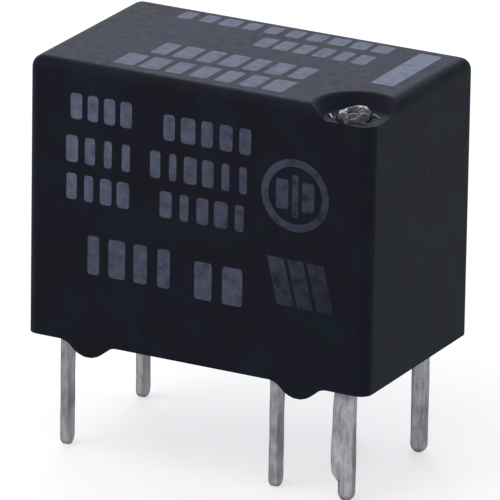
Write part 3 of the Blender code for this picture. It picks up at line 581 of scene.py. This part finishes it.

# Pins
# Each terminal is stamped brass strip, tinned, and its pin was dipped in solder up to the resin.
# The dip rounds the edges and tips off, and leaves a dull, blotchy grey skin with small runs.
# Painted shade darkens three long edges of each pin and its side that faces +X, most of all
# between the tip and the middle, and a painted shadow darkens it near the resin under the case.
# It is also darker towards the tip, and some pins are darker all over.
# Above the resin the strip keeps its plain tin plate, a clean and even pale grey.
PIN_GREY = "#9c9b9f"
PIN_DARK = "#78767b"
PIN_PALE = "#bcbbbc"
# The dark that painted shade, painted shadow and the darker tips and pins blend the skin towards
PIN_SHADE_AND_DARK_SKIN = "#55535a"
PIN_TIN = "#b4b3b2"
PIN_TIN_ROUGHNESS = 0.3
STREAK_SIZE = 0.13 * MM
STREAK_STRETCH = (1, 1, 0.22)
CLOUD_SIZE = 0.5 * MM
DIP_TOP = 4.55 * MM
DIP_OVERLAP = 0.1 * MM
DIP_VOXEL = 0.03 * MM
DIP_ROUNDING = 14
DIP_SKIN = 0.02 * MM
DIP_RUN_DEPTH = 0.016 * MM
DIP_RUNS_PER_MM = Vector((3.5, 3.5, 1.1))
DIP_RELIEF = 0.35
DIP_RELIEF_DEPTH = 0.02 * MM
DIP_TIP_DARK = 0.4 * MM
# The heights over which a painted shadow from the case darkens each pin towards the resin
PAINTED_SHADOW_UNDER_CASE = (3.1 * MM, 3.75 * MM)
# The share of the painted edge shade kept on the edge between the front and the +X side
NEAR_EDGE_SHADE_SHARE = 0.35
# How much painted shade darkens the side that faces +X, how much more at its darkest height, and
# that height and its reach up and down in millimetres
SIDE_SHADE = 0.62
SIDE_SHADE_MORE = 0.3
SIDE_SHADE_MIDDLE = 1.5
SIDE_SHADE_REACH = 1.3
TERMINALS = (
    # node, X and Y of its pin, half widths of its pin, how much darker its skin is all over
    ("nc_terminal", 4.98, -2.54, 0.25, 0.14, 0.0),
    ("no_terminal", 4.98, 2.54, 0.25, 0.14, 0.46),
    ("common_terminal_front", -5.18, -2.54, 0.14, 0.25, 0.60),
    ("common_terminal_back", -5.18, 2.54, 0.14, 0.25, 0.0),
    ("coil_terminal_front", 2.44, -2.54, 0.14, 0.25, 0.50),
    ("coil_terminal_back", 2.44, 2.54, 0.14, 0.25, 0.50),
)
# A thin flag of solder ran down the left edge of the front right pin, with a lens of it above.
# Each pair is a height and how far the flag reaches out from the pin's edge there, in millimetres.
# It is made of balls, two abreast, whose half width is a share of the reach and a little more.
SOLDER_FLAG = (
    (0.70, 0.06), (0.78, 0.15), (0.88, 0.22), (1.05, 0.24), (1.50, 0.25), (2.00, 0.245),
    (2.50, 0.225), (3.00, 0.20), (3.50, 0.17), (4.00, 0.14), (4.50, 0.12))
FLAG_STEP = 0.05
FLAG_ABREAST = (0.25, 0.75)
FLAG_OVERLAP = 0.02
FLAG_BALL_REACH = (0.3, 0.05)
FLAG_BALL_HALVES = (0.09, 0.07)
FLAG_Y = -2.59
LENS_PLACE = (4.89, -2.65, 2.86)
LENS_HALVES = (0.15, 0.125, 0.42)

pin_solder, shader, place = new_material("dull_solder_dip")
streaks = spots(mapped(place, Scale=STREAK_STRETCH), STREAK_SIZE, detail=3.0, roughness=0.6)
clouds = spots(place, CLOUD_SIZE, detail=3.0, roughness=0.55)
blotches = add_node(place.id_data, "ShaderNodeMix", i0=0.5, i2=streaks, i3=clouds).outputs[0]
skin = ramp(blotches, (0.34, PIN_DARK), (0.5, PIN_GREY), (0.68, PIN_PALE))
# This attribute holds painted shade and painted shadow, and the darker tips and pins
painted_shade_and_dark_skin = add_node(
    place.id_data, "ShaderNodeAttribute", {"attribute_name": "painted_shade_and_dark_skin"}).outputs["Fac"]
dip_colour = blend(ramp(painted_shade_and_dark_skin, (0.42, 0.0), (0.95, 0.85)), skin, linear(PIN_SHADE_AND_DARK_SKIN))
height = add_node(place.id_data, "ShaderNodeSeparateXYZ", Vector=place).outputs["Z"]
dipped = add_node(
    place.id_data, "ShaderNodeMapRange", Value=height, From_Min=DIP_TOP,
    From_Max=DIP_TOP + DIP_OVERLAP, To_Min=1.0, To_Max=0.0).outputs[0]
dullness = ramp(clouds, (0.35, 0.32), (0.65, 0.5))
feed(
    shader,
    Base_Color=blend(dipped, linear(PIN_TIN), dip_colour),
    Metallic=1.0,
    Roughness=add_node(
        place.id_data, "ShaderNodeMix", i0=dipped, i2=PIN_TIN_ROUGHNESS, i3=dullness).outputs[0],
    Normal=relief(streaks, combined('MULTIPLY', dipped, DIP_RELIEF), DIP_RELIEF_DEPTH))


def cut_at(bm, height, keep_above):
    """Cut a closed mesh level at a height, keep one side, and close the cut."""
    cut = bmesh.ops.bisect_plane(
        bm, geom=bm.verts[:] + bm.edges[:] + bm.faces[:], plane_co=(0, 0, height),
        plane_no=(0, 0, 1), clear_inner=keep_above, clear_outer=not keep_above)["geom_cut"]
    bmesh.ops.holes_fill(bm, edges=[item for item in cut if isinstance(item, bmesh.types.BMEdge)])


def add_ball(bm, centre, halves, subdivisions=2):
    """An ellipsoid of solder, placed in millimetres."""
    bmesh.ops.create_icosphere(
        bm, subdivisions=subdivisions, radius=MM,
        matrix=Matrix.Translation(Vector(centre) * MM) @ Matrix.Diagonal((*halves, 1)))


def add_flag(bm, edge):
    """The flag of solder on a pin whose left edge is at that X, and the lens above it."""
    half_y, half_z = FLAG_BALL_HALVES
    for (low, low_reach), (high, high_reach) in zip(SOLDER_FLAG, SOLDER_FLAG[1:]):
        steps = math.ceil((high - low) / FLAG_STEP)
        for i in range(steps):
            height = low + (high - low) * i / steps
            reach = low_reach + (high_reach - low_reach) * i / steps
            half_x = reach * FLAG_BALL_REACH[0] + FLAG_BALL_REACH[1]
            for share in FLAG_ABREAST:
                x = edge - reach * share + FLAG_OVERLAP
                add_ball(bm, (x, FLAG_Y, height), (half_x, half_y, half_z))
    add_ball(bm, LENS_PLACE, LENS_HALVES, subdivisions=3)


def dipped_pin(node, x, y, half_x, half_y, thin):
    """The pin's dipped end, from its tip to inside the resin, with its painted shade and darker
    places marked.
    """
    has_flag = node == "nc_terminal"
    pin = merged_copy(node, node + "_dip")
    bm = bmesh.new()
    bm.from_mesh(pin.data)
    cut_at(bm, DIP_TOP, keep_above=False)
    if has_flag:
        add_flag(bm, x - half_x)
    bm.to_mesh(pin.data)
    bm.free()
    skin_over(pin, DIP_VOXEL, DIP_ROUNDING)
    marks = pin.data.attributes.new("painted_shade_and_dark_skin", 'FLOAT', 'POINT')
    normals = [vert.normal.copy() for vert in pin.data.vertices]
    for vert, normal, mark in zip(pin.data.vertices, normals, marks.data):
        at = vert.co / MM
        run = noise.noise(at * DIP_RUNS_PER_MM)
        vert.co += normal * (DIP_SKIN + DIP_RUN_DEPTH * run)
        vert.co.z = max(vert.co.z, 0)
        # Painted shade along the pin's long edges, standing in for the darker surroundings they
        # reflect
        corner = min(abs(at.x - x) / half_x, 1) * min(abs(at.y - y) / half_y, 1)
        if at.x > x and at.y < y:
            corner *= NEAR_EDGE_SHADE_SHARE
        if has_flag and at.x < x and at.z > SOLDER_FLAG[0][0]:
            corner = 0
        # Painted shade on the side that faces +X, darkest around one height
        lower = max(0, 1 - abs(at.z - SIDE_SHADE_MIDDLE + run) / SIDE_SHADE_REACH)
        side_shade = max(0, normal.x) * (SIDE_SHADE + SIDE_SHADE_MORE * lower)
        tip = max(0, 1 - vert.co.z / DIP_TIP_DARK)
        # A painted shadow from the case, darkening the pin near the resin
        shadow_under_case = (vert.co.z - PAINTED_SHADOW_UNDER_CASE[0]) / (PAINTED_SHADOW_UNDER_CASE[1] - PAINTED_SHADOW_UNDER_CASE[0])
        mark.value = max(thin, corner, side_shade, tip, min(shadow_under_case, 1))
    return pin


for node, x, y, half_x, half_y, thin in TERMINALS:
    terminal = dipped_pin(node, x, y, half_x, half_y, thin)
    strip = merged_copy(node, node + "_strip")
    bm = bmesh.new()
    bm.from_mesh(strip.data)
    cut_at(bm, DIP_TOP - DIP_OVERLAP, keep_above=True)
    bm.to_mesh(strip.data)
    bm.clear()
    bm.from_mesh(terminal.data)
    bm.from_mesh(strip.data)
    bm.to_mesh(terminal.data)
    bm.free()
    bpy.data.objects.remove(strip)
    terminal.name = terminal.data.name = node + "_dipped"
    smooth(terminal, angle=50)
    wear(terminal, pin_solder)
    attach(terminal, "relay")
    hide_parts(node)

# Sealing resin
# Black epoxy was poured round the pins and levelled itself, so it is glossy with a faint ripple.
RIPPLE_SIZE = 1.1 * MM
RIPPLE_DEPTH = 0.05 * MM

epoxy, shader, place = two_toned(
    "poured_black_epoxy", "#16171b", "#202228", size=0.8 * MM, stops=(0.35, 0.7), Roughness=0.2)
feed(shader, Normal=relief(spots(place, RIPPLE_SIZE), strength=0.4, depth=RIPPLE_DEPTH))
wear(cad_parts["sealing_resin"], epoxy)

# The resin creeps a little way down each pin and down the case's wall before it sets, as a small
# hollow fillet with its root inside the resin. These sizes are in millimetres.
FILLET = 0.16
FILLET_STEPS = 6
FILLET_ROUND = 11
FILLET_GAP = 0.005
FILLET_CORNER = 0.04
FILLET_ROOT_CORNER = 0.05
FILLET_ROOT_DEPTH = 0.1
WALL_HALF_X = 5.71
WALL_HALF_Y = 3.16
WALL_CORNER = 0.3
BAND_DEPTH = 0.05
resin_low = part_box("sealing_resin")[0].z / MM


def oval(x, y, half_x, half_y, corner, z):
    """Points round a rectangle with round corners, at one height."""
    points = []
    for side_x, side_y, start in ((1, 1, 0), (-1, 1, 90), (-1, -1, 180), (1, -1, 270)):
        centre = (x + side_x * (half_x - corner), y + side_y * (half_y - corner))
        points += arc(centre, corner, start, degrees=90, steps=FILLET_ROUND)
    return [Vector((*point, z)) * MM for point in points]


def wall_ring(inset, z):
    """Points round the inside of the case's wall, or that far in from it."""
    return oval(0, 0, WALL_HALF_X - inset, WALL_HALF_Y - inset, WALL_CORNER - inset / 2, z)


bm = bmesh.new()
angles = [math.pi / 2 * i / FILLET_STEPS for i in range(FILLET_STEPS + 1)]
for _, x, y, half_x, half_y, _ in TERMINALS:
    rings = [oval(x, y, half_x + FILLET, half_y + FILLET, FILLET + FILLET_ROOT_CORNER,
                  resin_low + FILLET_ROOT_DEPTH)]
    for angle in angles:
        out = FILLET * (1 - math.sin(angle)) + FILLET_GAP
        down = FILLET * (1 - math.cos(angle))
        rings.append(oval(x, y, half_x + out, half_y + out, out + FILLET_CORNER, resin_low - down))
    loops = bridge(bm, rings)
    bm.faces.new(loops[0])
    bm.faces.new(loops[-1])
# Along the wall of the case the same fillet is a closed band: its hollow face, back and wall
band = [wall_ring(FILLET * math.sin(angle), resin_low - FILLET * (1 - math.sin(angle)))
        for angle in angles]
band += [wall_ring(FILLET, resin_low + BAND_DEPTH), wall_ring(0, resin_low + BAND_DEPTH)]
bridge(bm, band, closed=True)
resin_fillets = built("resin_fillets", bm)
smooth(resin_fillets)
wear(resin_fillets, epoxy)
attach(resin_fillets, "relay")

# Base
# A moulded plate in dark glass-filled polyester carries the terminals, with short fibres that
# show as fine pale flecks on its skin.
filled_polyester = two_toned(
    "glass_filled_polyester", "#2b2c30", "#4a4b50", size=0.07 * MM, detail=4.0, fineness=0.7,
    stops=(0.55, 0.72), Roughness=0.55)[0]
wear(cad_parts["base"], filled_polyester)

# Bobbin
# The coil former is natural nylon, cream and slightly waxy, straight from its mould.
nylon = two_toned(
    "natural_nylon", "#d8d2c0", "#e6e1d2", size=0.9 * MM, stops=(0.35, 0.7), Roughness=0.45,
    Subsurface_Weight=0.1, Subsurface_Scale=0.3 * MM)[0]
wear(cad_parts["bobbin"], nylon)

# Coil
# The former is filled with enamelled copper wire 0.05 mm thick, wound by machine in close turns.
# Its last layer is drawn in wire 0.09 mm thick, because the real turns are too fine to show.
WIRE_RADIUS = 0.045 * MM
WIRE_SIDES = 6
WIRE_PITCH = 0.1 * MM
WIRE_SINK = 0.02 * MM
TURN_STEPS = 40

enamelled_copper, shader, place = two_toned(
    "enamelled_copper_wire", "#9c4f28", "#c4713f", size=0.4 * MM, detail=3.0, Metallic=0.9)
feed(shader, Roughness=ramp(spots(place, size=0.15 * MM), (0.3, 0.22), (0.7, 0.36)))
wear(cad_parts["winding"], enamelled_copper)


def wound_layer_tree():
    """Geometry nodes for one layer of wire, wound in a screw line along Z."""
    tree, given = modifier_tree("wound_layer", {
        "Turns": "Float", "Length": "Float", "Coil Radius": "Float", "Wire Radius": "Float",
        "Steps": "Int", "Wire": "Material"})
    line = add_node(
        tree, "GeometryNodeCurveSpiral", Resolution=given["Steps"], Rotations=given["Turns"],
        Start_Radius=given["Coil Radius"], End_Radius=given["Coil Radius"],
        Height=given["Length"]).outputs[0]
    section = add_node(
        tree, "GeometryNodeCurvePrimitiveCircle", Resolution=WIRE_SIDES,
        Radius=given["Wire Radius"]).outputs[0]
    wire = add_node(
        tree, "GeometryNodeCurveToMesh", Curve=line, Profile_Curve=section,
        Fill_Caps=True).outputs[0]
    coated = add_node(
        tree, "GeometryNodeSetMaterial", Geometry=wire, Material=given["Wire"]).outputs[0]
    add_node(tree, "NodeGroupOutput", Geometry=coated)
    return tree


winding_low, winding_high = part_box("winding")
layer_length = winding_high.x - winding_low.x - 2 * WIRE_RADIUS
outer_turns = grown("outer_turns", wound_layer_tree(), {
    "Turns": layer_length / WIRE_PITCH, "Length": layer_length,
    "Coil Radius": (winding_high.z - winding_low.z) / 2 - WIRE_SINK, "Wire Radius": WIRE_RADIUS,
    "Steps": TURN_STEPS, "Wire": enamelled_copper})
outer_turns.data.transform(
    Matrix.Translation((winding_low.x + WIRE_RADIUS, 0, (winding_low.z + winding_high.z) / 2))
    @ Matrix.Rotation(math.pi / 2, 4, 'Y'))
outer_turns.data.shade_smooth()
wear(outer_turns, enamelled_copper)
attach(outer_turns, "relay")

lead_copper = two_toned(
    "enamelled_copper_lead", "#a5552c", "#c87a4a", size=0.2 * MM, Metallic=0.9,
    Roughness=0.28)[0]
for lead in ("coil_lead_front", "coil_lead_back"):
    wear(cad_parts[lead], lead_copper)

# Magnet iron
# Core, yoke and armature are annealed soft iron with a thin nickel plate. The plate is a warm
# grey, fairly smooth, and keeps the faint drawing lines of the strip.
nickelled_iron, shader, place = two_toned(
    "nickel_plated_iron", "#a5a39e", "#b1aea8", size=0.1 * MM, stretch=(0.08, 1, 0.08),
    Metallic=1.0)
feed(shader, Roughness=ramp(spots(place, size=0.05 * MM, detail=3.0), (0.3, 0.27), (0.7, 0.34)))
for part in ("core", "yoke", "armature"):
    wear(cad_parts[part], nickelled_iron)

# Leaf spring
# The leaf is rolled phosphor bronze, reddish gold, with fine rolling lines along its length.
phosphor_bronze = two_toned(
    "rolled_phosphor_bronze", "#a97a4d", "#c09261", size=0.08 * MM, detail=3.0,
    stretch=(0.05, 1, 0.05), Metallic=1.0, Roughness=0.3)[0]
wear(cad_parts["moving_spring"], phosphor_bronze)

# Contacts
# Each contact is a short bar of silver alloy, drawn round on its face and slightly dulled.
contact_silver = two_toned(
    "drawn_silver_alloy", "#c9c8c2", "#e4e3de", size=0.15 * MM, detail=3.0, Metallic=1.0,
    Roughness=0.27)[0]
for bar in ("moving_contact_upper", "moving_contact_lower", "no_contact", "nc_contact"):
    wear(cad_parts[bar], contact_silver)

# Floor
# A plain white sheet, wide enough to fill every view, that keeps the relay's soft shadow.
FLOOR_SIZE = 8.0
FLOOR_WHITE = "#cfcfcf"
FLOOR_LIFT = 0.55


def seen_directly(tree):
    """1 for what the camera sees, straight, in a gloss or through glass, and 0 for other light."""
    ray = add_node(tree, "ShaderNodeLightPath").outputs
    seen = ray["Is Camera Ray"]
    for other in ("Is Glossy Ray", "Is Transmission Ray"):
        seen = combined('MAXIMUM', seen, ray[other])
    return seen


white_sheet, shader, _ = new_material("white_paper_sheet")
feed(
    shader, Base_Color=linear(FLOOR_WHITE), Roughness=0.9, Specular_IOR_Level=0.0,
    Emission_Color=(1, 1, 1, 1),
    Emission_Strength=combined('MULTIPLY', seen_directly(white_sheet.node_tree), FLOOR_LIFT))
bpy.ops.mesh.primitive_plane_add(size=FLOOR_SIZE)
floor = bpy.context.object
floor.name = "floor"
wear(floor, white_sheet)

# Surroundings
# A white room, even and soft. What looks at it straight or by reflection sees plain white.
ROOM_LIGHT = 0.55
LAMP_AIM = Vector((0, 0, 8)) * MM

world = bpy.data.worlds.new("white_room")
bpy.context.scene.world = world
world.use_nodes = True
sky = world.node_tree
sky.nodes.clear()
strength = add_node(
    sky, "ShaderNodeMapRange", Value=seen_directly(sky), To_Min=ROOM_LIGHT, To_Max=1.0).outputs[0]
glow = add_node(sky, "ShaderNodeBackground", Color=(1, 1, 1, 1), Strength=strength).outputs[0]
add_node(sky, "ShaderNodeOutputWorld", Surface=glow)


def soft_lamp(name, place, size, watts, colour="#ffffff"):
    """A square lamp that faces the middle of the relay."""
    light = bpy.data.lights.new(name, 'AREA')
    light.color = linear(colour)[:3]
    light.size = size
    light.energy = watts
    made = add_object(name, light)
    made.location = place
    made.rotation_euler = (LAMP_AIM - Vector(place)).to_track_quat('-Z', 'Y').to_euler()


soft_lamp("key", (-0.25, -0.30, 0.42), size=0.60, watts=1.15)
soft_lamp("window_behind", (-0.30, 0.56, 0.27), size=0.45, watts=2.05, colour="#dde7ff")

# Camera
# It stands where the photograph was taken, a quarter of a metre off with a long lens.
CAMERA_RIGHT = Vector((0.88238, 0.47028, 0.01542))
CAMERA_UP = Vector((-0.16763, 0.28357, 0.94419))
CAMERA_PLACE = Vector((118.3973, -224.9795, 95.3461)) * MM
CAMERA_LENS = 604.875
camera = add_object("camera", bpy.data.cameras.new("camera"))
turned = Matrix((CAMERA_RIGHT, CAMERA_UP, CAMERA_RIGHT.cross(CAMERA_UP))).transposed().to_4x4()
camera.matrix_world = Matrix.Translation(CAMERA_PLACE) @ turned
camera.data.sensor_width = 36
camera.data.lens = CAMERA_LENS
camera.data.clip_start = 0.01
camera.data.clip_end = 100
bpy.context.scene.camera = camera
bpy.context.scene.view_settings.view_transform = 'Standard'
